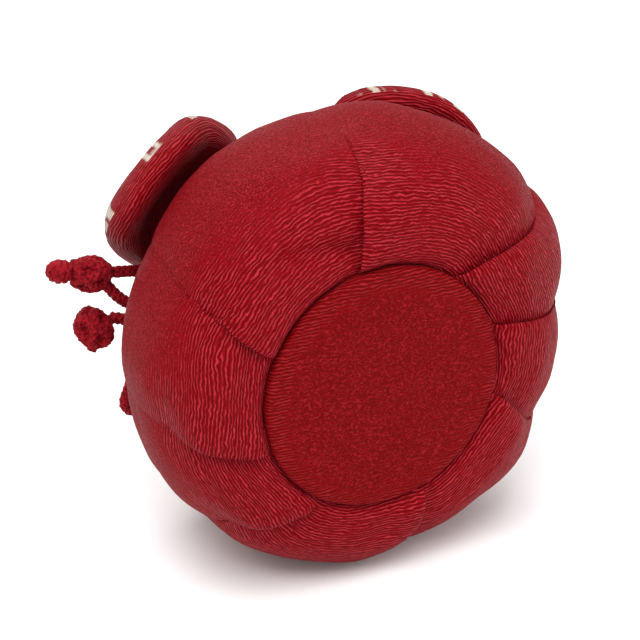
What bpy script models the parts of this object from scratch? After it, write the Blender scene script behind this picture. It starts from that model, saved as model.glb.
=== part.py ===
"""Kinchaku drawstring pouch of red crepe, pleated round a stiff round base.

The pouch lies on its side, stuffed and drawn shut. Units are metres and +Z is up, with the floor
at z = 0. Its axis runs along +Y, from the round base (which faces -Y) to the drawn mouth. Shapes
are given in a local frame whose origin is the middle of the base's outward face: "across" along
+X, "depth" along +Y and "up" along +Z.
"""

import math

import bpy
import numpy as np
from mathutils import Vector

MM = 0.001
COLLECTION = "kinchaku_pouch"
BASE_CENTRE = Vector((-4.3, -39.3, 54.5)) * MM  # the middle of the base's outward face

# Cloths and clearances
CREPE = 1.0 * MM
LINING = 0.7 * MM
GAP = 0.3 * MM

# Round base: a card disc wrapped in crepe
BASE_RADIUS = 31.8 * MM
BOARD_THICK = 1.5 * MM
COVER_EDGE_ROUND = 1.0 * MM
COVER_TURN_IN = 7.0 * MM

# Outline of the bag, from the seam at the base to the frilled lip: (depth, radius) in mm
BODY_OUTLINE = [
    (2.9, 32.3), (2.3, 34.6), (2.2, 38.0), (3.7, 44.5), (8.9, 51.0), (17.0, 55.6), (27.0, 57.4),
    (36.0, 57.0), (45.0, 53.6), (53.0, 47.5), (59.0, 38.5), (62.8, 28.0), (64.8, 19.0), (66.2, 12.8),
    (67.4, 9.6), (68.8, 8.8), (70.4, 9.6), (72.0, 11.6),
]
LINING_OUTLINE = [
    (4.8, 1.0), (4.8, 16.0), (4.9, 29.0), (6.6, 38.0), (11.0, 44.5), (18.0, 49.2), (27.0, 51.4),
    (36.0, 50.8), (44.5, 47.4), (52.0, 41.0), (57.4, 32.0), (60.4, 22.0), (62.2, 13.0), (65.0, 8.2),
    (68.8, 7.1), (71.2, 8.6),
]
# The middle of the bag sits to the right of the base's middle and above it: (depth, across, up) in mm
BODY_LEAN = [(3.5, 0.0, 0.0), (12.0, 2.0, 0.9), (30.0, 4.8, 2.2), (60.0, 4.2, 4.0), (80.0, 4.0, 4.2)]

# Knife pleats: angle at the base, turn before the fold fades (both in degrees), length in mm
PLEATS = [
    (19.0, 14.0, 31.0), (53.0, 24.0, 37.0), (102.0, 9.0, 27.0), (153.0, 4.0, 22.0),
    (199.0, 14.0, 30.0), (238.0, 19.0, 25.0), (291.0, 12.0, 24.0), (345.0, 13.0, 25.0),
]
PLEAT_STEP = 2.8  # mm
PLEAT_FADE = 0.45  # the share of a pleat's length over which it fades out
PANEL_PUFF = 1.8  # mm
FOLD_SHARE = 0.6  # how much of a pleat's step is its raised fold; the rest is the dip beneath it
SEAM_TUCK = 6.0  # mm over which a pleat's step grows from the base seam
PUFF_ALONG = ([0.0, 14.0, 50.0, 80.0, 95.0], [0.0, 1.0, 1.0, 0.25, 0.0])  # mm from the seam, and its share
PANEL_STATIONS = [0.05, 0.28, 0.52, 0.76, 0.96, 1.0]  # places across a panel, from foot to fold

# The filling presses the low cloth behind the belly down on to the floor, so the pouch lies firmly
SAG_ALONG = ([24.0, 36.0, 51.0, 57.0], [0.0, 6.0, 6.0, 0.0])  # depths, and how far the cloth sags, in mm
SAG_FADE = (6.0, 18.0)  # heights above the floor over which the sag fades out, in mm

# Mouth petals: name, middle angle and half-width in degrees, reach from the mouth's middle in mm
PETALS = [
    ("petal_upper_left", 134.0, 28.0, 64.0),
    ("petal_upper_right", 45.0, 30.0, 68.0),
    ("petal_lower_left", 240.0, 28.0, 61.0),
    ("petal_lower_right", 315.0, 29.0, 62.0),
]
MOUTH = Vector((4.0, 0.0, 4.2))  # the mouth's middle, across and up, in mm
PETAL_THICK = 6.5 * MM
PETAL_CORNER = 0.24  # how much shorter a petal is at its sides
# A petal's middle surface, from its root to past its rim: (distance from the mouth's middle, depth) in mm
PETAL_SECTION = [(14.5, 76.4), (27.0, 74.2), (39.0, 69.6), (49.0, 63.4), (58.0, 56.6), (69.0, 48.6)]
PETAL_CUP = 2.0  # how far a petal's sides drop towards the bag, in mm

# Drawcords
CORD_RADIUS = 1.5 * MM
CORD_RING_DEPTH = 68.8
CORD_RING_RADIUS = 10.7
RING_POINTS = 36
CORD_STEP = 2.6 * MM  # distance between a tail's points
TAIL_UPPER = [
    (-8.8, 68.8, 6.7), (-14.0, 68.9, 7.5), (-21.0, 68.2, 9.2), (-29.0, 66.0, 11.8),
    (-36.5, 62.6, 14.4), (-42.0, 59.6, 16.0), (-46.2, 58.1, 16.9),
]
TAIL_LINK = [
    (-9.0, 68.8, 3.2), (-14.0, 68.7, 3.2), (-21.0, 67.8, 3.6), (-29.0, 65.4, 4.6),
    (-36.5, 61.8, 5.6), (-42.3, 58.8, 6.8), (-45.8, 57.6, 9.4), (-48.4, 57.3, 13.2),
]
TAIL_LOWER = [
    (-8.2, 68.8, -0.4), (-13.5, 69.2, -2.2), (-20.0, 69.2, -5.5), (-26.5, 68.6, -10.5),
    (-32.5, 67.6, -17.0), (-37.5, 66.4, -23.0), (-42.0, 64.5, -25.0), (-45.0, 62.6, -21.5),
    (-45.8, 61.2, -16.0), (-45.6, 60.0, -10.0), (-45.7, 58.9, -4.6), (-46.4, 57.8, 0.4),
]
# Knots: name, middle and half-sizes along the knot's own axis and across it (all in mm), tilt in degrees
KNOTS = [
    ("knot_upper", (-52.6, 57.6, 18.6), (5.9, 4.2, 4.2), 17.0),
    ("knot_upper_tip", (-61.4, 57.6, 21.3), (2.7, 2.8, 2.8), 17.0),
    ("knot_lower", (-53.0, 57.2, 4.4), (4.5, 4.4, 6.0), 0.0),
]
KNOT_SEGMENTS = 14

RED = (0.36, 0.006, 0.022)
LINING_RED = (0.30, 0.02, 0.03)
CORD_RED = (0.28, 0.006, 0.018)
CARD_GREY = (0.55, 0.50, 0.42)


def clear_scene():
    """Remove whatever the file held before."""
    for obj in list(bpy.data.objects):
        bpy.data.objects.remove(obj, do_unlink=True)


def material(name, colour, roughness):
    """A Principled material of one colour."""
    made = bpy.data.materials.new(name)
    made.use_nodes = True
    shader = made.node_tree.nodes["Principled BSDF"]
    shader.inputs["Base Color"].default_value = (*colour, 1.0)
    shader.inputs["Roughness"].default_value = roughness
    shader.inputs["Metallic"].default_value = 0.0
    return made


def placed(across, depth, up):
    """A point of the local frame, given in mm, as world coordinates in metres."""
    return BASE_CENTRE + Vector((across, depth, up)) * MM


def add_mesh(name, points, faces, finish):
    """Make a mesh object in the pouch's collection and shade it smooth."""
    mesh = bpy.data.meshes.new(name)
    mesh.from_pydata([tuple(p) for p in points], [], faces)
    mesh.update()
    mesh.materials.append(finish)
    mesh.shade_smooth()
    obj = bpy.data.objects.new(name, mesh)
    bpy.data.collections[COLLECTION].objects.link(obj)
    return obj


def through(points, count):
    """Points evenly spread by parameter on a smooth curve through the given ones."""
    p = np.array(points, float)
    p = np.vstack([2 * p[0] - p[1], p, 2 * p[-1] - p[-2]])
    at = np.linspace(0.0, len(points) - 1.0, count)
    i = np.minimum(at.astype(int), len(points) - 2)
    t = (at - i)[:, None]
    a, b, c, d = p[i], p[i + 1], p[i + 2], p[i + 3]
    cubic = -a + 3 * b - 3 * c + d
    return 0.5 * (2 * b + (c - a) * t + (2 * a - 5 * b + 4 * c - d) * t**2 + cubic * t**3)


def lean(depth):
    """Where the bag's middle is at a depth, across and up, all in mm."""
    depths, across, up = zip(*BODY_LEAN)
    return np.interp(depth, depths, across), np.interp(depth, depths, up)


def outline_stations(outline, rows):
    """The outline at some rows: depth, radius, the outward normal's two parts and the length so far."""
    fine = through(outline, 20 * (len(outline) - 1) + 1)
    along = np.concatenate([[0.0], np.cumsum(np.linalg.norm(np.diff(fine, axis=0), axis=1))])
    slope = np.gradient(fine, axis=0)
    slope /= np.linalg.norm(slope, axis=1)[:, None]
    picked = [round(20 * row) for row in rows]
    return [(fine[i, 0], fine[i, 1], -slope[i, 1], slope[i, 0], along[i]) for i in picked]


def fold_angle(pleat, along):
    """The angle of a pleat's fold at a distance from the base seam, in degrees."""
    start, turn, length = pleat
    return start - turn * math.sin(0.5 * math.pi * min(along / length, 1.0))


def fold_strength(pleat, along):
    """1 where a pleat is fully folded, and 0 where it has faded."""
    left = 1.0 - along / pleat[2]
    return min(max(left / PLEAT_FADE, 0.0), 1.0)


def panel_height(s, along, below, above):
    """How far a panel stands off the smooth outline at s, from its foot (0) to its own fold (1), in mm."""
    raised = PLEAT_STEP * FOLD_SHARE * s * s * fold_strength(above, along)
    dipped = PLEAT_STEP * (1.0 - FOLD_SHARE) * (1.0 - s) ** 2 * fold_strength(below, along)
    puff = PANEL_PUFF * np.interp(along, *PUFF_ALONG) * math.sin(math.pi * s)
    sewn_down = min(along / SEAM_TUCK, 1.0)  # no layer stands off the base seam
    return sewn_down * (raised - dipped) + puff


def settled(height, depth):
    """A height above the floor once the cloth has sagged on to it, both in mm."""
    low, high = SAG_FADE
    t = min(max((height - low) / (high - low), 0.0), 1.0)
    fade = 1.0 - t * t * (3.0 - 2.0 * t)
    return max(height - fade * np.interp(depth, *SAG_ALONG), 0.0)


def body_ring(station):
    """One ring of the pleated bag: eight panels, each from under one fold to its own."""
    depth, radius, normal_depth, normal_radius, along = station
    points = []
    for k, below in enumerate(PLEATS):
        above = PLEATS[(k + 1) % len(PLEATS)]
        first = fold_angle(below, along)
        last = fold_angle(above, along) + (360.0 if k == len(PLEATS) - 1 else 0.0)
        for s in PANEL_STATIONS:
            angle = math.radians(first + s * (last - first))
            height = panel_height(s, along, below, above)
            d = depth + height * normal_depth
            r = radius + height * normal_radius
            across, up = lean(d)
            point = placed(across + r * math.cos(angle), d, up + r * math.sin(angle))
            point.z = settled(point.z / MM, d) * MM  # the bag settles flat where it lies
            points.append(point)
    return points


def round_ring(station, count):
    """One plain round ring of the lining."""
    depth, radius = station[:2]
    across, up = lean(depth)
    turns = [2 * math.pi * j / count for j in range(count)]
    return [placed(across + radius * math.cos(a), depth, up + radius * math.sin(a)) for a in turns]


def lofted_cloth(name, rings, thickness, finish, closed_start):
    """Join rings into an open surface that Solidify thickens inwards."""
    count = len(rings[0])
    points = [p for ring in rings for p in ring]
    faces = []
    for i in range(len(rings) - 1):
        for j in range(count):
            k = (j + 1) % count
            faces.append((i * count + j, (i + 1) * count + j, (i + 1) * count + k, i * count + k))
    if closed_start:
        faces.append(tuple(range(count)))
    obj = add_mesh(name, points, faces, finish)
    shell = obj.modifiers.new("thickness", "SOLIDIFY")
    shell.thickness = thickness
    shell.offset = -1.0
    shell.use_even_offset = True
    return obj


def build_body(finish):
    """The pleated bag: one cloth from the base seam to the frilled lip."""
    rows = [0, 0.5, 1, 2, 2.5, 3, 3.5, 4, 4.5, 5, 6, 7, 8, 9, 10, 11, 12, 13, 14, 15, 16, 17]
    stations = outline_stations(BODY_OUTLINE, rows)
    return lofted_cloth("outer_bag", [body_ring(s) for s in stations], CREPE, finish, False)


def build_lining(finish):
    """The inner bag, closed over the base's inside and open at the mouth."""
    stations = outline_stations(LINING_OUTLINE, range(len(LINING_OUTLINE)))
    rings = [round_ring(s, 28) for s in stations]
    return lofted_cloth("lining_bag", rings, LINING, finish, True)


def turned_about_axis(name, profile, finish, steps):
    """A turned piece: the profile is (radius, distance behind the base's face) in metres."""
    obj = add_mesh(name, [(r, 0.0, -behind) for r, behind in profile], [], finish)
    mesh = obj.data
    mesh.edges.add(len(profile) - 1)
    for i, edge in enumerate(mesh.edges):
        edge.vertices = (i, i + 1)
    turn = obj.modifiers.new("turn", "SCREW")
    turn.axis = "Z"
    turn.steps = turn.render_steps = steps
    turn.use_merge_vertices = True
    turn.merge_threshold = 0.00002
    obj.location = BASE_CENTRE
    obj.rotation_euler = (math.pi / 2, 0.0, 0.0)
    return obj


def build_base(cover_finish, board_finish):
    """The base: a card disc, and the crepe drawn over it and turned in behind it."""
    board_front = CREPE + GAP
    board_back = board_front + BOARD_THICK
    hem_front = board_back + GAP
    hem_back = hem_front + CREPE
    inside = BASE_RADIUS - CREPE
    rounded = COVER_EDGE_ROUND
    profile = [(0.0, 0.0), (BASE_RADIUS - rounded, 0.0)]
    profile += [
        (BASE_RADIUS - rounded * (1 - math.sin(a)), rounded * (1 - math.cos(a)))
        for a in (math.pi / 6, math.pi / 3, math.pi / 2)
    ]
    profile += [(BASE_RADIUS, hem_back - 0.4 * rounded), (BASE_RADIUS - 0.4 * rounded, hem_back)]
    profile += [(BASE_RADIUS - COVER_TURN_IN, hem_back), (BASE_RADIUS - COVER_TURN_IN, hem_front)]
    profile += [(inside, hem_front), (inside, CREPE), (0.0, CREPE)]
    cover = turned_about_axis("base_cover", profile, cover_finish, 48)
    edge = inside - GAP
    board_profile = [(0.0, board_front), (edge, board_front), (edge, board_back), (0.0, board_back)]
    board = turned_about_axis("base_board", board_profile, board_finish, 48)
    return [cover, board]


def petal_point(middle, half_width, reach, s, t):
    """A point of a petal's middle surface, s across it (-1 to 1) and t from root to rim (0 to 1)."""
    angle = math.radians(middle + half_width * s)
    rim = reach * (1.0 - PETAL_CORNER * abs(s) ** 2.6)
    root = PETAL_SECTION[0][0]
    out = root + (rim - root) * t
    section = through(PETAL_SECTION, 101)
    depth = np.interp(out, section[:, 0], section[:, 1]) - PETAL_CUP * s * s * t
    return placed(MOUTH.x + out * math.cos(angle), depth, MOUTH.z + out * math.sin(angle))


def build_petal(name, middle, half_width, reach, finish):
    """A padded leaf of cloth, folded back from the mouth over the bag's shoulder."""
    wide, long = 6, 6
    points, faces = [], []
    for i in range(long):
        for j in range(wide):
            s = 2.0 * j / (wide - 1) - 1.0
            points.append(petal_point(middle, half_width, reach, s, i / (long - 1)))
    for i in range(long - 1):
        for j in range(wide - 1):
            a = i * wide + j
            faces.append((a, a + wide, a + wide + 1, a + 1))
    obj = add_mesh(name, points, faces, finish)
    pad = obj.modifiers.new("padding", "SOLIDIFY")
    pad.thickness = PETAL_THICK
    pad.offset = 0.0
    soft = obj.modifiers.new("soft", "SUBSURF")
    soft.levels = soft.render_levels = 1
    return obj


def add_tube(name, points, finish, cyclic=False):
    """A round cord along a polyline."""
    curve = bpy.data.curves.new(name, "CURVE")
    curve.dimensions = "3D"
    curve.bevel_depth = CORD_RADIUS
    curve.bevel_resolution = 2
    curve.use_fill_caps = not cyclic
    spline = curve.splines.new("POLY")
    spline.points.add(len(points) - 1)
    for item, p in zip(spline.points, points):
        item.co = (*p, 1.0)
    spline.use_cyclic_u = cyclic
    curve.materials.append(finish)
    obj = bpy.data.objects.new(name, curve)
    bpy.data.collections[COLLECTION].objects.link(obj)
    return obj


def build_tail(name, route, finish):
    """A free end of a drawcord, on a smooth curve through its route."""
    fine = through(route, 400)
    along = np.concatenate([[0.0], np.cumsum(np.linalg.norm(np.diff(fine, axis=0), axis=1))])
    count = round(along[-1] * MM / CORD_STEP) + 1
    spaced = np.linspace(0.0, along[-1], count)
    points = [[np.interp(a, along, fine[:, k]) for k in range(3)] for a in spaced]
    return add_tube(name, [placed(*p) for p in points], finish)


def build_cord_ring(finish):
    """The drawcords where they run round the gathered neck."""
    points = []
    for j in range(RING_POINTS):
        a = 2 * math.pi * j / RING_POINTS
        across = MOUTH.x + CORD_RING_RADIUS * math.cos(a)
        points.append(placed(across, CORD_RING_DEPTH, MOUTH.z + CORD_RING_RADIUS * math.sin(a)))
    return add_tube("drawcord_ring", points, finish, cyclic=True)


def build_knot(name, middle, half_sizes, tilt, finish):
    """A knot's outer shape: a ball stretched along its own axis."""
    bpy.ops.mesh.primitive_uv_sphere_add(segments=KNOT_SEGMENTS, ring_count=8, radius=MM)
    obj = bpy.context.object
    obj.name = name
    obj.data.materials.append(finish)
    obj.data.shade_smooth()
    obj.scale = half_sizes
    obj.rotation_euler = (0.0, math.radians(tilt), 0.0)
    obj.location = placed(*middle)
    for held in list(obj.users_collection):
        held.objects.unlink(obj)
    bpy.data.collections[COLLECTION].objects.link(obj)
    return obj


def main():
    """Build every piece of the pouch."""
    clear_scene()
    bpy.context.scene.collection.children.link(bpy.data.collections.new(COLLECTION))
    crepe = material("crepe_red", RED, 0.72)
    cord = material("cord_red", CORD_RED, 0.68)
    build_body(crepe)
    build_lining(material("lining_red", LINING_RED, 0.85))
    build_base(material("base_crepe", RED, 0.72), material("card", CARD_GREY, 0.9))
    for name, middle, half_width, reach in PETALS:
        build_petal(name, middle, half_width, reach, crepe)
    build_cord_ring(cord)
    build_tail("drawcord_tail_upper", TAIL_UPPER, cord)
    build_tail("drawcord_tail_link", TAIL_LINK, cord)
    build_tail("drawcord_tail_lower", TAIL_LOWER, cord)
    for name, middle, half_sizes, tilt in KNOTS:
        build_knot(name, middle, half_sizes, tilt, cord)


main()
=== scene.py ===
"""Looks of a kinchaku drawstring pouch: ribbed red crepe, padded petals, braided cords and a soft studio.

Lengths in the classes are millimetres in the pouch's local frame, whose origin is the middle of the
base's outward face: "across" runs along +X, "depth" along +Y, from the base to the mouth, and "up"
along +Z. Placed.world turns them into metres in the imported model's frame.
"""

import logging
import math
from dataclasses import dataclass, field
from enum import Enum

import bmesh
import bpy
import numpy as np
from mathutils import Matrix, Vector, noise

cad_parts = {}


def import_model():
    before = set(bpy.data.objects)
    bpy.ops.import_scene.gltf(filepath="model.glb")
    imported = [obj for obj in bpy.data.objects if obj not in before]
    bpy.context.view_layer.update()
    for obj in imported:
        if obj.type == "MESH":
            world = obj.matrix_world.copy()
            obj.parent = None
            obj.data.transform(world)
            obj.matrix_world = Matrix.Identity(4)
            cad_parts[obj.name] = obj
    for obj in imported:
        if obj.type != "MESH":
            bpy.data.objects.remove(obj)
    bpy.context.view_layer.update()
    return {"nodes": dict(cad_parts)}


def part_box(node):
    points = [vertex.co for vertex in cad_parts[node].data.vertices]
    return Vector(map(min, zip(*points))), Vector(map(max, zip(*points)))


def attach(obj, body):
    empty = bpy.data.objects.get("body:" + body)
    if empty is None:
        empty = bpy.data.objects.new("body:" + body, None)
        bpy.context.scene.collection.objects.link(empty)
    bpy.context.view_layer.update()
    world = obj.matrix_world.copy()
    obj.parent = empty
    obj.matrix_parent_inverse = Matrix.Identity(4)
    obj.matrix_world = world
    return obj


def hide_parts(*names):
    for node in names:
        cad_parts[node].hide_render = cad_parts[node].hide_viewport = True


MM = 0.001
ROOT = "root"
LOG = logging.getLogger("kinchaku")

Colour = tuple[float, float, float]
Point = tuple[float, float, float]


class Slot(Enum):
    """The record's material slots."""

    CREPE = "crepe_red"
    PATTERNED = "crepe_patterned"
    LINING = "lining_red"
    CORD = "cord_red"
    CARD = "card"


# ---------------------------------------------------------------- shader maths


class Value:
    """One output of a shader node, with the arithmetic that shader maths needs."""

    def __init__(self, graph: "Graph", socket: bpy.types.NodeSocket) -> None:
        """Keep the socket and the graph that it belongs to."""
        self.graph = graph
        self.socket = socket

    def _math(self, operation: str, *operands: "Value | float") -> "Value":
        """Add a Math node.

        Args:
            operation: the node's operation.
            operands: its inputs in order, as values or numbers.

        Returns:
            The node's result.
        """
        return self.graph.node("ShaderNodeMath", {"operation": operation}, dict(enumerate(operands)))

    def __add__(self, other: "Value | float") -> "Value":
        """The sum."""
        return self._math("ADD", self, other)

    __radd__ = __add__

    def __mul__(self, other: "Value | float") -> "Value":
        """The product."""
        return self._math("MULTIPLY", self, other)

    __rmul__ = __mul__

    def __sub__(self, other: "Value | float") -> "Value":
        """The difference."""
        return self._math("SUBTRACT", self, other)

    def __rsub__(self, other: float) -> "Value":
        """A number less this value."""
        return self._math("SUBTRACT", other, self)

    def sine(self) -> "Value":
        """The sine of the value."""
        return self._math("SINE", self)

    def size(self) -> "Value":
        """The value without its sign."""
        return self._math("ABSOLUTE", self)

    def fraction(self) -> "Value":
        """What is left above the whole number below."""
        return self._math("FRACT", self)

    def whole(self) -> "Value":
        """The whole number below."""
        return self._math("FLOOR", self)

    def larger(self, other: "Value | float") -> "Value":
        """The larger of the two."""
        return self._math("MAXIMUM", self, other)

    def rise(self, low: "Value | float", high: "Value | float") -> "Value":
        """0 below low and 1 above high, turning smoothly between them."""
        settings = {"interpolation_type": "SMOOTHSTEP"}
        return self.graph.node("ShaderNodeMapRange", settings, {0: self, 1: low, 2: high})

    def mixed(self, other: "Value | float", share: "Value | float") -> "Value":
        """This value where share is 0, and the other where it is 1."""
        return self.graph.node("ShaderNodeMix", {"data_type": "FLOAT"}, {0: share, 2: self, 3: other})


class Graph:
    """The node tree of one finish."""

    def __init__(self, name: str) -> None:
        """Start a material that holds only a Principled shader and its output."""
        self.material = bpy.data.materials.new(name)
        self.material.use_nodes = True
        self.tree = self.material.node_tree
        self.shader = self.tree.nodes["Principled BSDF"]

    def node(self, kind: str, settings: dict, inputs: dict, output: int = 0) -> Value:
        """Add any node.

        Args:
            kind: the node's type.
            settings: what is set on the node itself. "stops" are a ramp's (place, colour) pairs.
            inputs: a Value or a constant for each input, by its number or name.
            output: the number of the output wanted.

        Returns:
            That output.
        """
        made = self.tree.nodes.new(kind)
        for name, value in settings.items():
            if name == "stops":
                self._set_stops(made.color_ramp, value)
            else:
                setattr(made, name, value)
        for key, value in inputs.items():
            if isinstance(value, Value):
                self.tree.links.new(value.socket, made.inputs[key])
            else:
                made.inputs[key].default_value = value
        return Value(self, made.outputs[output])

    @staticmethod
    def _set_stops(ramp: bpy.types.ColorRamp, stops: list) -> None:
        """Give a colour ramp its stops, which are (place, colour) pairs."""
        while len(ramp.elements) < len(stops):
            ramp.elements.new(0.5)
        for element, (place, colour) in zip(ramp.elements, stops):
            element.position = place
            element.color = (*colour, 1.0)

    def feed(self, name: str, value: "Value | float | tuple") -> None:
        """Give one of the shader's own sockets a link or a constant."""
        if isinstance(value, Value):
            self.tree.links.new(value.socket, self.shader.inputs[name])
        else:
            self.shader.inputs[name].default_value = value

    def attribute(self, name: str) -> Value:
        """A number stored on the mesh's points."""
        return self.node("ShaderNodeAttribute", {"attribute_name": name}, {}, 2)

    def cloth_map(self) -> tuple[Value, Value, Value]:
        """The cloth's own map, in mm: the whole vector, along the ribs, and across them."""
        vector = self.node("ShaderNodeUVMap", {"uv_map": "cloth"}, {})
        along = self.node("ShaderNodeSeparateXYZ", {}, {0: vector}, 0)
        across = self.node("ShaderNodeSeparateXYZ", {}, {0: vector}, 1)
        return vector, along, across

    def place(self) -> Value:
        """The place on the object, in metres."""
        return self.node("ShaderNodeTexCoord", {}, {}, 3)

    def stretched(self, vector: Value, factors: Point) -> Value:
        """A vector with each of its parts multiplied."""
        return self.node("ShaderNodeVectorMath", {"operation": "MULTIPLY"}, {0: vector, 1: factors})

    def speckle(self, vector: Value, detail: float = 1.0, roughness: float = 0.5) -> Value:
        """Noise from 0 to 1, about one unit from spot to spot."""
        inputs = {"Vector": vector, "Scale": 1.0, "Detail": detail, "Roughness": roughness}
        return self.node("ShaderNodeTexNoise", {}, inputs)

    def ramp(self, value: Value, stops: list) -> Value:
        """A colour for each value."""
        return self.node("ShaderNodeValToRGB", {"stops": stops}, {0: value})

    def mix_colour(self, first: "Value | tuple", second: "Value | tuple", share: Value) -> Value:
        """The first colour where share is 0, and the second where it is 1."""
        inputs = {0: share, 6: first, 7: second}
        return self.node("ShaderNodeMix", {"data_type": "RGBA"}, inputs, 2)

    def bump(self, height: Value, depth_mm: float) -> None:
        """Raise the surface by the height, which runs from 0 to 1 over a depth in mm."""
        inputs = {"Strength": 1.0, "Distance": depth_mm * MM, "Height": height}
        self.feed("Normal", self.node("ShaderNodeBump", {}, inputs))


# ---------------------------------------------------------------- finishes


@dataclass(frozen=True)
class CrepeFinish:
    """Silky crepe: wavy ribs where the cloth is pulled, and a pebbled grain where it is slack."""

    name: str
    # The darkest colour is painted shade in the hollows of the ribs and grain. The palest is a painted satin
    # highlight on their tops. The middle one is the cloth's own red.
    valley: Colour = (0.115, 0.0, 0.001)
    body: Colour = (0.21, 0.0005, 0.004)
    crest_painted_highlight: Colour = (0.39, 0.022, 0.034)
    rib_pitch: float = 0.86
    rib_depth: float = 0.24
    grain_pitch: float = 0.54
    grain_stretch: Point = (1.0, 1.6, 1.0)

    def ribs(self, graph: Graph) -> Value:
        """The height of the ribs, from 0 to 1: thin wavy crests that swell, thin out and join."""
        vector, _, across = graph.cloth_map()
        wander = graph.speckle(graph.stretched(vector, (0.12, 0.25, 1.0)), 1.0) - 0.5
        zigzag = graph.speckle(graph.stretched(vector, (0.55, 0.70, 1.0)), 1.0) - 0.5
        swell = graph.speckle(graph.stretched(vector, (0.38, 1.05, 1.0)), 1.0)
        phase = across * (1.0 / self.rib_pitch) + wander * 1.5 + zigzag * 1.15
        wave = (phase * (2.0 * math.pi)).sine() * 0.5 + 0.5
        return wave * swell.rise(0.30, 0.56).mixed(1.0, 0.62)

    def grain(self, graph: Graph) -> Value:
        """The height of the pebbled grain, from 0 to 1."""
        factor = 1.0 / (self.grain_pitch * MM)
        stretch = tuple(factor * part for part in self.grain_stretch)
        spots = graph.speckle(graph.stretched(graph.place(), stretch), 1.5, 0.45)
        return spots.rise(0.34, 0.72) * 0.72 + 0.12

    def height(self, graph: Graph) -> Value:
        """Ribs and grain together, shared out by the mesh's own "rib" values."""
        uneven = graph.speckle(graph.stretched(graph.place(), (160.0, 160.0, 160.0)), 1.0) - 0.5
        share = (graph.attribute("rib") + uneven * 0.7).rise(0.12, 0.72)
        return self.grain(graph).mixed(self.ribs(graph), share)

    def colour(self, graph: Graph, height: Value) -> Value:
        """Painted shade in the valleys and a painted satin highlight on the crests, around the cloth's deep
        red.
        """
        stops = [(0.05, self.valley), (0.40, self.body), (0.58, self.body), (0.96, self.crest_painted_highlight)]
        return graph.ramp(height, stops)

    def material(self) -> bpy.types.Material:
        """Build the finish.

        Returns:
            The material, ready to be put on a piece.
        """
        graph = Graph(self.name)
        height = self.height(graph)
        graph.feed("Base Color", self.colour(graph, height))
        graph.feed("Roughness", height * -0.16 + 0.62)
        dress_cloth(graph)
        graph.bump(height, self.rib_depth)
        return graph.material


def dress_cloth(graph: Graph) -> None:
    """Give a red cloth its soft pinkish sheen and low gloss."""
    graph.feed("Specular IOR Level", 0.05)
    graph.feed("Sheen Weight", 0.015)
    graph.feed("Sheen Roughness", 0.4)
    graph.feed("Sheen Tint", (1.0, 0.42, 0.50, 1.0))


@dataclass(frozen=True)
class PatternedCrepeFinish(CrepeFinish):
    """The same crepe with a common splashed pattern of crossed bars and blocks, on the petals' outer side."""

    pale: Colour = (0.66, 0.56, 0.47)
    cell: float = 15.0

    @staticmethod
    def bars(along: Value, across: Value, half_gap: float, half_width: float, half_length: float) -> Value:
        """Two parallel bars, or one where they have no gap: 1 on them and 0 off them."""
        off_line = (across.size() - half_gap).size()
        on_line = 1.0 - off_line.rise(half_width - 0.25, half_width + 0.25)
        return on_line * (1.0 - along.size().rise(half_length - 0.3, half_length + 0.3))

    def motif(self, graph: Graph) -> Value:
        """Where the pattern's pale weft shows, from 0 to 1."""
        vector, _, _ = graph.cloth_map()
        ragged = graph.speckle(graph.stretched(vector, (0.35, 1.6, 1.0)), 1.0) - 0.5
        across = graph.node("ShaderNodeSeparateXYZ", {}, {0: graph.place()}, 0) * (1.0 / MM)
        up = graph.node("ShaderNodeSeparateXYZ", {}, {0: graph.place()}, 2) * (1.0 / MM)
        turned_a = across * 0.80 + up * 0.60 + ragged * 1.6
        turned_b = up * 0.80 - across * 0.60 + ragged * 0.8
        row = (turned_b * (1.0 / self.cell)).whole()
        shifted = turned_a + row * (0.5 * self.cell)
        a = ((shifted * (1.0 / self.cell)).fraction() - 0.5) * self.cell
        b = ((turned_b * (1.0 / self.cell)).fraction() - 0.5) * self.cell
        crossed = self.bars(a, b, 1.9, 0.75, 5.2).larger(self.bars(b, a, 1.9, 0.75, 5.2))
        block = self.bars(a - 5.6, b - 5.4, 0.0, 1.6, 2.1)
        return crossed.larger(block)

    def material(self) -> bpy.types.Material:
        """Build the finish.

        Returns:
            The material, ready to be put on a petal.
        """
        graph = Graph(self.name)
        height = self.height(graph)
        shown = self.motif(graph) * graph.attribute("outer").rise(0.35, 0.6)
        # The pale pattern darkens to 55% in the rib hollows: painted shade.
        pale = graph.ramp(height, [(0.0, tuple(0.55 * part for part in self.pale)), (0.6, self.pale)])
        graph.feed("Base Color", graph.mix_colour(self.colour(graph, height), pale, shown))
        graph.feed("Roughness", height * -0.16 + 0.62)
        dress_cloth(graph)
        graph.bump(height, self.rib_depth)
        return graph.material


@dataclass(frozen=True)
class CordFinish:
    """Silk braid: deep red strands with fine twisted threads."""

    name: str = "braided_cord"
    # The darkest colour is painted shade in the gaps between the fine threads. Where the blotches set it, it
    # is uneven tone.
    shade: Colour = (0.085, 0.0, 0.001)
    thread: Colour = (0.30, 0.008, 0.016)

    def material(self) -> bpy.types.Material:
        """Build the finish.

        Returns:
            The material, ready to be put on a cord or a knot.
        """
        graph = Graph(self.name)
        vector, _, _ = graph.cloth_map()
        threads = graph.speckle(graph.stretched(vector, (0.9, 6.0, 1.0)), 1.0)
        blotches = graph.speckle(graph.stretched(graph.place(), (700.0, 700.0, 700.0)), 1.0)
        height = threads.rise(0.3, 0.7).mixed(blotches.rise(0.3, 0.7), 0.45)
        graph.feed("Base Color", graph.ramp(height, [(0.0, self.shade), (0.55, self.thread)]))
        graph.feed("Roughness", height * -0.12 + 0.58)
        dress_cloth(graph)
        graph.bump(height, 0.12)
        return graph.material


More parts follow.
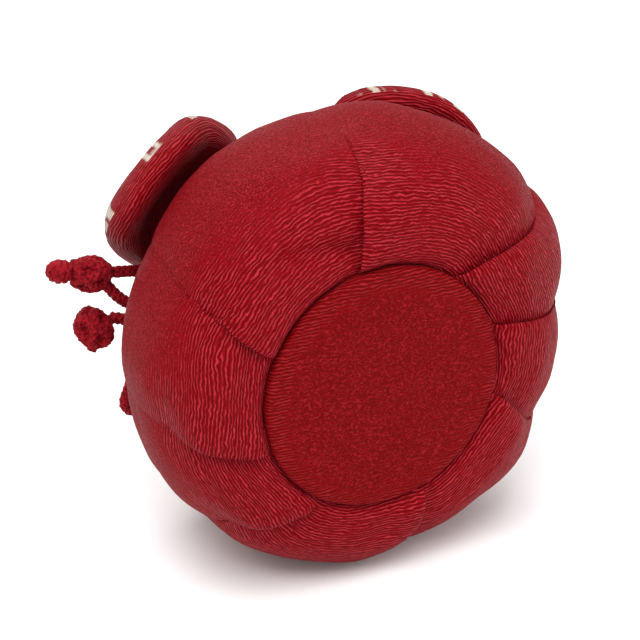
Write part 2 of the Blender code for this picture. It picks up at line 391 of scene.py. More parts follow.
@dataclass(frozen=True)
class LiningFinish:
    """Thin plain cotton with a fine even weave."""

    name: str = "lining_cotton"
    thread: Colour = (0.30, 0.015, 0.028)
    # The gap colour is painted shade between the woven threads.
    gap: Colour = (0.13, 0.004, 0.010)
    pitch: float = 0.45

    def material(self) -> bpy.types.Material:
        """Build the finish.

        Returns:
            The material, ready to be put on the lining.
        """
        graph = Graph(self.name)
        vector, along, across = graph.cloth_map()
        turn = 2.0 * math.pi / self.pitch
        weave = ((along * turn).sine() * (across * turn).sine()) * 0.5 + 0.5
        slubs = graph.speckle(graph.stretched(vector, (0.4, 2.5, 1.0)), 2.0)
        height = weave.mixed(slubs, 0.4)
        graph.feed("Base Color", graph.ramp(height, [(0.1, self.gap), (0.7, self.thread)]))
        graph.feed("Roughness", height * -0.1 + 0.88)
        graph.feed("Sheen Weight", 0.15)
        graph.bump(height, 0.08)
        return graph.material


@dataclass(frozen=True)
class CardFinish:
    """Uncoated grey card with flecks of fibre."""

    name: str = "grey_card"
    light: Colour = (0.58, 0.53, 0.45)
    fleck: Colour = (0.34, 0.29, 0.23)

    def material(self) -> bpy.types.Material:
        """Build the finish.

        Returns:
            The material, ready to be put on the card.
        """
        graph = Graph(self.name)
        fibres = graph.speckle(graph.stretched(graph.place(), (500.0, 500.0, 1400.0)), 3.0, 0.6)
        clouds = graph.speckle(graph.stretched(graph.place(), (90.0, 90.0, 90.0)), 2.0)
        tone = fibres.rise(0.35, 0.6).mixed(clouds, 0.35)
        graph.feed("Base Color", graph.ramp(tone, [(0.15, self.fleck), (0.6, self.light)]))
        graph.feed("Roughness", tone * -0.05 + 0.93)
        graph.bump(fibres, 0.05)
        return graph.material


@dataclass(frozen=True)
class StageFinish:
    """The plain pale floor."""

    name: str = "pale_floor"
    tone: float = 0.93

    def material(self) -> bpy.types.Material:
        """A matt near-white."""
        graph = Graph(self.name)
        graph.feed("Base Color", (self.tone, self.tone, self.tone, 1.0))
        graph.feed("Roughness", 0.9)
        graph.feed("Specular IOR Level", 0.1)
        return graph.material


# ---------------------------------------------------------------- shapes


def through(points: list[Point], count: int) -> np.ndarray:
    """Points evenly spread by parameter on a smooth curve through the given ones.

    Args:
        points: the curve's own points, with any number of coordinates each.
        count: how many points to return.

    Returns:
        An array of count rows.
    """
    p = np.array(points, float)
    p = np.vstack([2 * p[0] - p[1], p, 2 * p[-1] - p[-2]])
    at = np.linspace(0.0, len(points) - 1.0, count)
    i = np.minimum(at.astype(int), len(points) - 2)
    t = (at - i)[:, None]
    a, b, c, d = p[i], p[i + 1], p[i + 2], p[i + 3]
    cubic = -a + 3 * b - 3 * c + d
    return 0.5 * (2 * b + (c - a) * t + (2 * a - 5 * b + 4 * c - d) * t**2 + cubic * t**3)


def lengths_along(points: np.ndarray) -> np.ndarray:
    """The distance run so far at each point of a line."""
    steps = np.linalg.norm(np.diff(points, axis=0), axis=1)
    return np.concatenate([[0.0], np.cumsum(steps)])


def evenly(points: np.ndarray, spacing: float) -> np.ndarray:
    """The same line with its points about spacing apart."""
    along = lengths_along(points)
    count = max(round(along[-1] / spacing), 2) + 1
    wanted = np.linspace(0.0, along[-1], count)
    return np.stack([np.interp(wanted, along, points[:, k]) for k in range(points.shape[1])], axis=1)


def smooth(x: np.ndarray, low: float, high: float) -> np.ndarray:
    """0 below low and 1 above high, turning smoothly between them."""
    t = np.clip((np.asarray(x, float) - low) / (high - low), 0.0, 1.0)
    return t * t * (3.0 - 2.0 * t)


def rumple(points: np.ndarray, pitch: float, seed: float) -> np.ndarray:
    """Smooth noise, about -1 to 1, at each of an array of points, with hills about pitch apart."""
    flat = points.reshape(-1, 3) / pitch
    shift = Vector((seed, 2.3 * seed, -1.7 * seed))
    found = [noise.noise(Vector(p) + shift) for p in flat]
    return np.array(found).reshape(points.shape[:-1])


@dataclass(frozen=True)
class Placed:
    """The local frame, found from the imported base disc."""

    centre: np.ndarray

    @classmethod
    def from_base(cls, node: str) -> "Placed":
        """Put the origin in the middle of a disc's face that looks along -Y."""
        low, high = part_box(node)
        return cls(np.array([(low[0] + high[0]) / 2, low[1], (low[2] + high[2]) / 2]))

    def world(self, local: np.ndarray) -> np.ndarray:
        """Local millimetres as world metres."""
        return self.centre + np.asarray(local, float) * MM


@dataclass
class Patch:
    """Grids of points that become one mesh: faces, a cloth map in mm and numbers on the points."""

    placed: Placed
    points: list = field(default_factory=list)
    faces: list = field(default_factory=list)
    cloth: list = field(default_factory=list)
    numbers: dict = field(default_factory=dict)

    def add_grid(
        self, grid: np.ndarray, cloth: np.ndarray, closed: bool = False, **numbers: np.ndarray | float
    ) -> None:
        """Add a grid.

        Args:
            grid: local points, rows by columns by 3.
            cloth: the map's two coordinates for each of them.
            closed: whether the last column joins the first.
            numbers: one value for each point, or one for them all, by attribute name.
        """
        rows, columns = grid.shape[:2]
        start = len(self.points)
        self.points.extend(self.placed.world(grid.reshape(-1, 3)).tolist())
        self.cloth.extend(cloth.reshape(-1, 2).tolist())
        for name, values in numbers.items():
            spread = np.broadcast_to(values, (rows, columns)).reshape(-1)
            self.numbers.setdefault(name, [0.0] * start).extend(spread.tolist())
        for i in range(rows - 1):
            for j in range(columns if closed else columns - 1):
                a = start + i * columns + j
                b = start + i * columns + (j + 1) % columns
                self.faces.append((a, a + columns, b + columns, b))

    def build(self, name: str, finish: bpy.types.Material, merge: float = 0.02) -> bpy.types.Object:
        """Make the mesh object.

        Args:
            name: the object's name.
            finish: its material.
            merge: points closer than this, in mm, become one.

        Returns:
            The object, shaded smooth.
        """
        mesh = bpy.data.meshes.new(name)
        mesh.from_pydata(self.points, [], self.faces)
        layer = mesh.uv_layers.new(name="cloth")
        corner_points = np.empty(len(mesh.loops), int)
        mesh.loops.foreach_get("vertex_index", corner_points)
        layer.data.foreach_set("uv", np.array(self.cloth)[corner_points].ravel())
        for key, values in self.numbers.items():
            mesh.attributes.new(key, "FLOAT", "POINT").data.foreach_set("value", values)
        merge_points(mesh, merge * MM)
        mesh.materials.append(finish)
        mesh.shade_smooth()
        obj = bpy.data.objects.new(name, mesh)
        bpy.context.scene.collection.objects.link(obj)
        return obj


def merge_points(mesh: bpy.types.Mesh, distance: float) -> None:
    """Join points that lie together and drop the faces that vanish, in metres."""
    work = bmesh.new()
    work.from_mesh(mesh)
    bmesh.ops.remove_doubles(work, verts=work.verts, dist=distance)
    bmesh.ops.dissolve_degenerate(work, edges=work.edges, dist=distance * 0.1)
    bmesh.ops.recalc_face_normals(work, faces=work.faces)
    work.to_mesh(mesh)
    work.free()


def thicken(obj: bpy.types.Object, thickness: float, offset: float = -1.0) -> None:
    """Give an open cloth its thickness, in mm."""
    shell = obj.modifiers.new("thickness", "SOLIDIFY")
    shell.thickness = thickness * MM
    shell.offset = offset


def settle(obj: bpy.types.Object, slot: Slot, *nodes: str) -> bpy.types.Object:
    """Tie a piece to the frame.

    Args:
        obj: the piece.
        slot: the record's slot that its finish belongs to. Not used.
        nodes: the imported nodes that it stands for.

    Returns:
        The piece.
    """
    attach(obj, ROOT)
    if nodes:
        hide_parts(*nodes)
    LOG.info("%s stands for %s", obj.name, ", ".join(nodes) or "nothing packed")
    return obj


# ---------------------------------------------------------------- the bag


@dataclass(frozen=True)
class Pleat:
    """A knife pleat: angle at the base, turn before it fades (both in degrees), length and take-up in mm."""

    start: float
    turn: float
    length: float
    take_up: float = 6.0
    usual_radius: float = 48.0  # the bag's radius half-way along a pleat, in mm

    def fold(self, along: np.ndarray) -> np.ndarray:
        """The fold's angle in radians at a distance from the base seam."""
        share = np.minimum(along / self.length, 1.0)
        return np.radians(self.start - self.turn * np.sin(0.5 * math.pi * share))

    def across_ribs(
        self, angle: np.ndarray, wrap: float, along: np.ndarray, radius: np.ndarray
    ) -> np.ndarray:
        """The distance across ribs that lie square to the fold, in mm."""
        slope = -math.radians(self.turn) * self.usual_radius / self.length
        round_it = (angle - math.radians(self.start) - wrap) * radius
        return (along + round_it * slope) / math.sqrt(1.0 + slope**2)

    def strength(self, along: np.ndarray, fade: float) -> np.ndarray:
        """1 where it is fully folded, and 0 where it has faded."""
        return smooth((1.0 - along / self.length) / fade, 0.0, 1.0)


@dataclass(frozen=True)
class Hollow:
    """A soft valley in the cloth between two places, or a swelling where its depth is below 0.

    Each place is (angle in degrees, distance from the seam in mm).
    """

    first: tuple[float, float]
    last: tuple[float, float]
    depth: float
    width: float

    def dip(self, angle: np.ndarray, along: np.ndarray, radius: np.ndarray) -> np.ndarray:
        """How far the cloth sinks at each point, in mm."""
        middle = math.radians(self.first[0] + 0.5 * ((self.last[0] - self.first[0] + 180.0) % 360.0 - 180.0))
        around = (np.angle(np.exp(1j * (angle - middle)))) * radius
        run = math.radians((self.last[0] - self.first[0] + 180.0) % 360.0 - 180.0) * radius
        rise = self.last[1] - self.first[1]
        centre = 0.5 * (self.first[1] + self.last[1])
        t = np.clip((around * run + (along - centre) * rise) / (run**2 + rise**2), -0.5, 0.5)
        away = np.hypot(around - t * run, along - centre - t * rise)
        return self.depth * np.exp(-((away / self.width) ** 2))


@dataclass
class Bag:
    """The crepe bag: one cloth, knife-pleated round the base and gathered at the mouth."""

    placed: Placed
    finish: bpy.types.Material
    outline: list = field(
        default_factory=lambda: [
            (3.4, 31.2), (2.6, 32.4), (1.4, 34.4), (1.6, 38.0), (3.5, 44.5), (8.8, 51.0), (17.0, 55.6),
            (27.0, 57.4), (36.0, 57.0), (45.0, 53.6), (53.0, 47.5), (59.0, 38.5), (62.8, 28.0), (64.8, 19.0),
            (66.2, 12.8), (67.4, 9.6), (68.8, 8.8), (70.4, 9.4), (72.0, 11.4), (73.2, 13.4),
        ]
    )
    lean_depths: tuple = (3.5, 12.0, 30.0, 60.0, 80.0)
    lean_across: tuple = (0.0, 2.0, 4.8, 4.2, 4.0)
    lean_up: tuple = (0.0, 0.9, 2.2, 4.0, 4.2)
    pleats: tuple = (
        Pleat(19.0, 14.0, 31.0), Pleat(53.0, 24.0, 37.0), Pleat(102.0, 9.0, 27.0),
        Pleat(153.0, 4.0, 20.0), Pleat(199.0, 14.0, 31.0), Pleat(238.0, 19.0, 26.0),
        Pleat(291.0, 12.0, 24.0), Pleat(345.0, 13.0, 25.0),
    )
    puffs: tuple = (2.0, 1.4, 1.6, 1.3, 1.2, 1.7, 2.2, 2.0)  # one for each panel, in mm
    hollows: tuple = (
        Hollow((102.0, 8.5), (124.0, 14.5), 2.6, 3.0),
        Hollow((270.0, 10.0), (282.0, 16.0), 0.9, 4.0),
        Hollow((22.0, 42.0), (34.0, 52.0), -3.2, 16.0),
        Hollow((318.0, 34.0), (330.0, 44.0), -2.6, 12.0),
        Hollow((352.0, 30.0), (4.0, 44.0), 1.2, 7.0),
        Hollow((176.0, 40.0), (205.0, 46.0), -1.3, 18.0),
    )
    step: float = 3.0  # how far a fold stands over the panel beneath it
    fold_share: float = 0.6  # the share of the step that is the raised fold
    fade: float = 0.5
    cloth: float = 0.45
    gathers: int = 21
    columns: int = 27
    row_spacing: float = 1.15
    map_shift: float = 37.0  # keeps the cloth's noise from repeating from panel to panel, in mm
    sag_along: tuple = ((24.0, 36.0, 51.0, 57.0), (0.0, 6.0, 6.0, 0.0))  # depths, and the sag there, in mm
    sag_fade: tuple = (6.0, 18.0)  # heights above the floor over which the sag fades out, in mm

    def lean(self, depth: np.ndarray) -> tuple[np.ndarray, np.ndarray]:
        """Where the bag's middle is at a depth, across and up."""
        across = np.interp(depth, self.lean_depths, self.lean_across)
        return across, np.interp(depth, self.lean_depths, self.lean_up)

    def stations(self) -> dict[str, np.ndarray]:
        """The outline's rows: depth, radius, outward normal and distance from the seam, as columns."""
        line = evenly(through(self.outline, 600), self.row_spacing)
        slope = np.gradient(line, axis=0)
        slope /= np.linalg.norm(slope, axis=1)[:, None]
        keys = ("depth", "radius", "normal_depth", "normal_radius", "along")
        rows = (line[:, 0], line[:, 1], -slope[:, 1], slope[:, 0], lengths_along(line))
        return {key: row[:, None] for key, row in zip(keys, rows)}

    def gathered(self, angle: np.ndarray, at: dict[str, np.ndarray]) -> np.ndarray:
        """The gathers that the drawn cord makes, deepest near the neck and loose at the lip."""
        behind = at["depth"] > 30.0
        deep = np.interp(at["radius"], [8.5, 10.0, 24.0, 40.0, 53.0], [0.75, 0.9, 1.2, 0.6, 0.0]) * behind
        deep = deep + smooth(at["depth"], 70.0, 73.0) * 0.8
        uneven = 0.9 * np.sin(3.0 * angle + 0.4) + 0.7 * np.sin(5.0 * angle + 2.0)
        return deep * np.sin(self.gathers * angle + uneven)

    def panel(self, k: int, at: dict[str, np.ndarray]) -> tuple[np.ndarray, ...]:
        """One panel with the fold that ends it and the hidden layer beneath that fold.

        Args:
            k: the panel's number. Its foot lies under pleat k, and its own fold is pleat k + 1.
            at: the outline's rows.

        Returns:
            Angles, heights over the outline, the cloth map's two coordinates, and the ribs' strength.
        """
        below, above = self.pleats[k], self.pleats[(k + 1) % len(self.pleats)]
        wrap = 2.0 * math.pi if k + 1 == len(self.pleats) else 0.0
        along, radius = at["along"], at["radius"]
        firm, own = below.strength(along, self.fade), above.strength(along, self.fade)
        sewn = smooth(along, 0.0, 6.0)
        step, own_step = self.step * firm * sewn, self.step * own * sewn
        start = below.fold(along) - below.take_up * firm / radius
        edge = above.fold(along) + wrap
        s = 0.5 - 0.5 * np.cos(np.linspace(0.0, math.pi, self.columns))[None, :]
        angle = start + s * (edge - start)
        from_foot = (angle - below.fold(along)) * radius
        to_edge = (edge - angle) * radius
        raised = self.fold_share * own_step * np.exp(-((to_edge / 9.0) ** 2))
        dipped = (1.0 - self.fold_share) * step * np.exp(-((np.maximum(from_foot, 0.0) / 6.0) ** 2))
        swell = np.interp(along, [0.0, 14.0, 50.0, 80.0, 95.0], [0.0, 1.0, 1.0, 0.25, 0.0])
        puff = np.sin(math.pi * s**1.25) ** 0.7
        height = raised - dipped + self.puffs[k] * swell * puff
        height -= sum(hollow.dip(angle, along, radius) for hollow in self.hollows)
        height -= self.tail_crease(below, from_foot, along) + self.tail_crease(above, to_edge, along)
        top, foot = height[:, -1:], -(1.0 - self.fold_share) * own_step
        lead = edge - above.take_up * own / radius
        angles, heights = self.folded(edge, lead, top, foot, radius)
        angle, height = np.hstack([angle, angles]), np.hstack([height, heights])
        turn = smooth(np.hstack([s * np.ones_like(along), np.ones_like(angles)]), 0.0, 1.0)
        u = (angle - edge) * radius + self.map_shift * k
        v = (1.0 - turn) * below.across_ribs(angle, 0.0, along, radius)
        v = v + turn * above.across_ribs(angle, wrap, along, radius)
        rib = self.rib_strength(angle, below.fold(along), edge, along, radius, below.length, above.length)
        return angle, height, u, v, rib

    @staticmethod
    def tail_crease(pleat: Pleat, away: np.ndarray, along: np.ndarray) -> np.ndarray:
        """The shallow valley that runs on where a pleat fades out."""
        window = smooth(along, 0.55 * pleat.length, 0.9 * pleat.length)
        window = window * (1.0 - smooth(along, pleat.length, 1.5 * pleat.length))
        return 0.6 * window * np.exp(-((away / 6.0) ** 2))

    @staticmethod
    def folded(
        edge: np.ndarray, lead: np.ndarray, top: np.ndarray, foot: np.ndarray, radius: np.ndarray
    ) -> tuple[np.ndarray, np.ndarray]:
        """The round of a fold and the layer that runs back beneath it.

        Args:
            edge: the fold's angle.
            lead: the angle of the hidden fold, where the next panel starts.
            top: the height of the panel's own cloth at its edge.
            foot: the height at which the next panel starts.
            radius: the outline's radius.

        Returns:
            The angles and heights of six points in each row.
        """
        middle = 0.5 * (top + foot)
        q = 0.5 * (top - middle)
        turns = (math.pi / 4, math.pi / 2, 3 * math.pi / 4)
        angles = [edge + q * math.sin(a) / radius for a in turns]
        heights = [top - q * (1.0 - math.cos(a)) for a in turns]
        angles += [edge, 0.5 * (edge + lead), lead]
        heights += [middle, middle, middle]
        return np.hstack(angles), np.hstack(heights)

    @staticmethod
    def rib_strength(
        angle: np.ndarray, first: np.ndarray, last: np.ndarray, along: np.ndarray, radius: np.ndarray,
        first_length: float, last_length: float,
    ) -> np.ndarray:
        """How clearly the ribs show: strong beside the pleats, and lost towards the bag's waist."""
        near_first = np.exp(-(((angle - first) * radius / 15.0) ** 2))
        near_first = near_first * (1.0 - smooth(along, 18.0, first_length + 14.0))
        near_last = np.exp(-(((last - angle) * radius / 18.0) ** 2))
        near_last = near_last * (1.0 - smooth(along, 20.0, last_length + 18.0))
        between = 0.62 * (1.0 - smooth(along, 16.0, 44.0))
        return np.maximum(np.maximum(near_first, near_last), between)

    def build(self) -> bpy.types.Object:
        """Loft the panels into one cloth and settle it on the floor.

        Returns:
            The bag.
        """
        at = self.stations()
        columns = [np.hstack(parts) for parts in zip(*(self.panel(k, at) for k in range(len(self.pleats))))]
        angle, height, u, v, rib = columns
        height = height + self.gathered(angle, at)
        plain = self.grid(angle, np.zeros_like(height), at)
        rumples = 0.9 * rumple(plain, 21.0, 3.1) + 0.35 * rumple(plain, 8.0, 7.7)
        height += rumples * smooth(at["along"], 1.0, 9.0)
        grid = self.grid(angle, height, at)
        grid[..., 2] = self.settled(grid)
        patch = Patch(self.placed)
        patch.add_grid(grid, np.stack([u, v], axis=-1), closed=True, rib=rib)
        bag = patch.build("crepe_bag", self.finish)
        thicken(bag, self.cloth)
        return settle(bag, Slot.CREPE, "outer_bag")

    def settled(self, grid: np.ndarray) -> np.ndarray:
        """How high each point stands once the filling has pressed the low cloth on to the floor."""
        floor = 0.1 - self.placed.centre[2] / MM
        over = grid[..., 2] - floor
        over = over - np.interp(grid[..., 1], *self.sag_along) * (1.0 - smooth(over, *self.sag_fade))
        return floor + 0.5 * (over + np.sqrt(over**2 + 0.3**2))

    def grid(self, angle: np.ndarray, height: np.ndarray, at: dict[str, np.ndarray]) -> np.ndarray:
        """Local points for angles and heights over the outline."""
        depth = at["depth"] + height * at["normal_depth"]
        radius = at["radius"] + height * at["normal_radius"]
        across, up = self.lean(depth)
        return np.stack([across + radius * np.cos(angle), depth, up + radius * np.sin(angle)], axis=-1)


@dataclass
class Lining:
    """The plain inner bag, closed over the base and open at the mouth."""

    placed: Placed
    finish: bpy.types.Material
    bag: Bag
    outline: list = field(
        default_factory=lambda: [
            (5.0, 0.3), (5.0, 16.0), (5.1, 29.0), (6.8, 38.0), (11.0, 44.2), (18.0, 49.0), (27.0, 51.2),
            (36.0, 50.6), (44.5, 47.2), (52.0, 40.8), (57.4, 31.8), (60.4, 21.8), (62.2, 12.8), (65.0, 8.0),
            (68.8, 6.9), (70.6, 7.6), (72.2, 9.4), (72.9, 11.6),
        ]
    )
    columns: int = 168
    row_spacing: float = 2.0

    def build(self) -> bpy.types.Object:
        """Loft the inner bag with soft folds that tighten into the neck.

        Returns:
            The lining.
        """
        line = evenly(through(self.outline, 400), self.row_spacing)
        depth, radius = line[:, :1], line[:, 1:]
        angle = np.linspace(0.0, 2.0 * math.pi, self.columns, endpoint=False)[None, :]
        folds = np.sin(16.0 * angle + 1.2 * np.sin(3.0 * angle))
        folds = folds * np.interp(radius, [6.0, 12.0, 40.0], [0.5, 0.7, 0.3])
        wide = radius + folds * smooth(depth, 9.0, 30.0)
        across, up = self.bag.lean(depth + 0.0 * angle)
        parts = [across + wide * np.cos(angle), depth + 0.0 * angle, up + wide * np.sin(angle)]
        grid = np.stack(parts, axis=-1)
        cloth = np.stack([angle * 50.0 + 0.0 * depth, lengths_along(line)[:, None] + 0.0 * angle], axis=-1)
        patch = Patch(self.placed)
        patch.add_grid(grid, cloth, closed=True)
        lining = patch.build("inner_lining", self.finish)
        thicken(lining, 0.3)
        return settle(lining, Slot.LINING, "lining_bag")


@dataclass
class BaseDisc:
    """The round base: crepe drawn over a card disc and turned in behind it."""

    placed: Placed
    finish: bpy.types.Material
    card: bpy.types.Material
    radius: float = 31.8
    edge_round: float = 1.3
    crown: float = 0.45
    hem_depth: float = 4.1
    turn_in: float = 7.0
    columns: int = 192

    def profile(self) -> np.ndarray:
        """Radius and depth, from the middle of the face over the rim to the hem's inner edge."""
        face = np.linspace(0.05, self.radius - 1.6, 26)
        flat = [(r, self.crown * (r / self.radius) ** 4) for r in face]
        turns = np.linspace(0.0, 0.5 * math.pi, 8)
        inner = self.radius - self.edge_round
        rim = [
            (inner + self.edge_round * math.sin(a), self.crown + self.edge_round * (1.0 - math.cos(a)))
            for a in turns
        ]
        back = [(self.radius, self.hem_depth - 0.7), (self.radius - 0.6, self.hem_depth)]
        hem = [(r, self.hem_depth) for r in np.linspace(self.radius - 1.6, self.radius - self.turn_in, 5)]
        return np.array(flat + rim + back + hem)

    def build(self) -> bpy.types.Object:
        """Turn the cover, with the small puckers of its turned-in hem.

        Returns:
            The cover.
        """
        line = self.profile()
        angle = np.linspace(0.0, 2.0 * math.pi, self.columns, endpoint=False)[None, :]
        radius, depth = line[:, :1] + 0.0 * angle, line[:, 1:] + 0.0 * angle
        pucker = 0.18 * np.sin(31.0 * angle) * smooth(line[:, 1:], 1.2, 4.0)
        grid = np.stack([radius * np.cos(angle), depth, radius * np.sin(angle)], axis=-1)
        grid[..., 1] += 0.16 * rumple(grid, 14.0, 5.5) * (line[:, 1:] < 1.0) + pucker
        grid[..., 1] = np.maximum(grid[..., 1], 0.0)
        rib = smooth(line[:, :1], self.radius - 8.0, self.radius - 1.0) * 0.95 + 0.08 + 0.0 * angle
        rib = rib * (0.75 + 0.25 * np.cos(angle - math.radians(125.0)))
        wrap = lengths_along(line)[:, None] - line[:, :1]
        cloth = np.stack([grid[..., 0], grid[..., 2] + wrap * np.sin(angle)], axis=-1)
        patch = Patch(self.placed)
        patch.add_grid(grid, cloth, closed=True, rib=rib)
        cover = patch.build("base_disc_cover", self.finish)
        thicken(cover, 0.45)
        return settle(cover, Slot.CREPE, "base_cover")

    def dress_card(self, node: bpy.types.Object) -> None:
        """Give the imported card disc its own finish."""
        node.data.materials.clear()
        node.data.materials.append(self.card)


# ---------------------------------------------------------------- petals


@dataclass
class Petal:
    """A padded leaf of doubled crepe, folded back from the mouth over the bag's shoulder."""

    placed: Placed
    finish: bpy.types.Material
    name: str
    middle: float
    half_width: float
    reach: float
    node: str
    rib_bend: float = 0.35  # 0 for straight ribs, 1 for ribs that follow the rim
    seed: float = 1.0
    rib_out: float = 0.785  # straight ribs lie square to this direction: out and along the depth
    rib_depth: float = 0.62
    corner: float = 0.24
    thick: float = 9.6
    plain_rim: float = 2.6  # the half-thickness at which the pattern starts
    root_thick: float = 4.2
    mouth_across: float = 4.0
    mouth_up: float = 4.2
    section: list = field(
        default_factory=lambda: [
            (9.5, 74.6), (14.5, 76.0), (26.0, 74.6), (37.0, 71.6), (46.0, 67.2), (52.5, 61.5), (56.5, 55.5),
            (59.5, 49.5), (62.0, 44.0),
        ]
    )
    cup: float = 2.0
    wide: int = 53
    long: int = 45

    def middle_surface(self, s: np.ndarray, t: np.ndarray) -> np.ndarray:
        """Local points of the padding's middle, s across it (-1 to 1) and t from root to rim."""
        section = through(self.section, 200)
        root = self.section[0][0]
        spread = self.half_width * (1.0 + 0.25 * (1.0 - t) ** 3)
        angle = np.radians(self.middle + spread * s)
        rim = self.reach * (1.0 - self.corner * np.abs(s) ** 2.6)
        out = root + (rim - root) * t
        depth = np.interp(out, section[:, 0], section[:, 1]) - self.cup * s * s * t
        across = self.mouth_across + out * np.cos(angle)
        return np.stack([across, depth, self.mouth_up + out * np.sin(angle)], axis=-1)

    def thickness(self, s: np.ndarray, t: np.ndarray) -> np.ndarray:
        """Half the padding's thickness: full and round at the rim, flat and gathered at the root."""
        half_span = np.radians(self.half_width) * (9.5 + (self.reach - 9.5) * t)
        to_side = (1.0 - np.abs(s)) * half_span
        to_rim = (1.0 - t) * (self.reach - 9.5)
        edge = np.minimum(to_side, to_rim)
        full = self.root_thick + (self.thick - self.root_thick) * smooth(t, 0.1, 0.75)
        round_over = np.minimum(edge / (0.55 * full), 1.0)
        return 0.5 * full * np.sqrt(np.maximum(1.0 - (1.0 - round_over) ** 2, 0.0))

    def build(self) -> bpy.types.Object:
        """Pad the leaf on both sides of its middle and join the sides at its edge.

        Returns:
            The petal.
        """
        s = np.sin(0.5 * math.pi * np.linspace(-1.0, 1.0, self.wide))[None, :]
        t = np.sin(0.5 * math.pi * np.linspace(0.0, 1.0, self.long))[:, None] ** 1.15
        s, t = s + 0.0 * t, t + 0.0 * s
        leaf = self.middle_surface(s, t)
        normal = np.cross(np.gradient(leaf, axis=1), np.gradient(leaf, axis=0))
        normal /= np.linalg.norm(normal, axis=-1)[..., None]
        normal *= np.sign(normal[..., 1:2])
        half = self.thickness(s, t)
        dents = rumple(leaf, 13.0, self.seed) * 0.8 + rumple(leaf, 5.5, self.seed + 4.0) * 0.25
        tucks = 0.45 * np.sin(s * 16.0 + self.seed) * (1.0 - smooth(t, 0.05, 0.4))
        live = np.minimum(half / 2.0, 1.0)
        outer = leaf + normal * (half + (dents + tucks) * live)[..., None]
        inner = leaf - normal * (half - (0.5 * dents - tucks) * live)[..., None]
        patch = Patch(self.placed)
        for side, shown in ((outer, 1.0), (inner, 0.0)):
            grid = side if shown else side[:, ::-1]
            cloth = self.cloth_map(side, shown)
            cover = shown * smooth(half, self.plain_rim, self.plain_rim + 0.8)
            if not shown:
                cloth, cover = cloth[:, ::-1], cover[:, ::-1]
            patch.add_grid(grid, cloth, rib=1.0, outer=cover)
        petal = patch.build(self.name, self.finish, merge=0.05)
        return settle(petal, Slot.PATTERNED, self.node)

    def cloth_map(self, grid: np.ndarray, outer: float) -> np.ndarray:
        """The map in mm. Its second coordinate grows across the ribs, from the root over the rim and back."""
        a = math.radians(self.middle)
        out = (grid[..., 0] - self.mouth_across) * math.cos(a) + (grid[..., 2] - self.mouth_up) * math.sin(a)
        side = (grid[..., 2] - self.mouth_up) * math.cos(a) - (grid[..., 0] - self.mouth_across) * math.sin(a)
        steps = np.linalg.norm(np.diff(grid, axis=0), axis=-1)
        to_rim = np.vstack([np.cumsum(steps[::-1], axis=0)[::-1], np.zeros((1, grid.shape[1]))])
        straight = self.rib_out * out[-1] + self.rib_depth * grid[-1, :, 1]
        rim = (1.0 - self.rib_bend) * straight
        across_ribs = rim[None, :] + (-to_rim if outer else to_rim)
        return np.stack([side, across_ribs], axis=-1)


# ---------------------------------------------------------------- cords and knots


@dataclass
class Braid:
    """A round braid of eight strands, four each way, laid along a line."""

    radius: float = 1.5
    lay: float = 7.4  # mm for one turn of a strand
    strands: int = 4
    strand_radius: float = 0.60
    weave: float = 0.20
    sides: int = 6
    spacing: float = 0.45

    def frames(self, line: np.ndarray) -> tuple[np.ndarray, np.ndarray, np.ndarray]:
        """The line's direction and two cross directions that don't twist along it."""
        along = np.gradient(line, axis=0)
        along /= np.linalg.norm(along, axis=1)[:, None]
        first = np.cross(along[0], (0.3, 0.2, 0.93))
        sideways = [first / np.linalg.norm(first)]
        for direction in along[1:]:
            carried = sideways[-1] - direction * np.dot(sideways[-1], direction)
            sideways.append(carried / np.linalg.norm(carried))
        side = np.array(sideways)
        return along, side, np.cross(along, side)

    def lay_along(
        self, patch: Patch, line: np.ndarray, swell: np.ndarray | float = 1.0, closed: bool = False
    ) -> None:
        """Add the strands to a patch.

        Args:
            patch: what the strands are added to.
            line: local points in mm.
            swell: the braid's size at each point, as a share of its own.
            closed: whether the line ends where it starts.
        """
        _, side, other = self.frames(line)
        run = lengths_along(line)
        turns = run[-1] / self.lay
        rate = 2.0 * math.pi * (max(round(turns * 4), 1) / 4 if closed else turns) / run[-1]
        size = np.broadcast_to(swell, run.shape)
        core = self.radius - self.strand_radius
        for way in (1.0, -1.0):
            offset = core + way * self.weave * np.cos(4.0 * rate * run)
            for i in range(self.strands):
                angle = way * rate * run + 2.0 * math.pi * i / self.strands
                arm = side * np.cos(angle)[:, None] + other * np.sin(angle)[:, None]
                centre = line + arm * (offset * size)[:, None]
                self.add_strand(patch, centre, self.strand_radius * size, 11.0 * i + 50.0 * way)

    def add_strand(self, patch: Patch, centre: np.ndarray, radius: np.ndarray, shift: float) -> None:
        """Add one round strand along its own line."""
        _, side, other = self.frames(centre)
        turn = np.linspace(0.0, 2.0 * math.pi, self.sides, endpoint=False)[None, :, None]
        ring = side[:, None] * np.cos(turn) + other[:, None] * np.sin(turn)
        grid = centre[:, None] + ring * radius[:, None, None]
        run = lengths_along(centre)[:, None] + shift
        cloth = np.stack([run + 0.0 * turn[..., 0], turn[..., 0] * self.strand_radius + 0.4 * run], axis=-1)
        patch.add_grid(grid, cloth, closed=True)
        for end in (0, -1):
            tip = np.broadcast_to(centre[end], (1, self.sides, 3))
            rim = grid[end][None]
            cap = np.concatenate([tip, rim] if end == 0 else [rim, tip])
            patch.add_grid(cap, np.zeros((2, self.sides, 2)), closed=True)


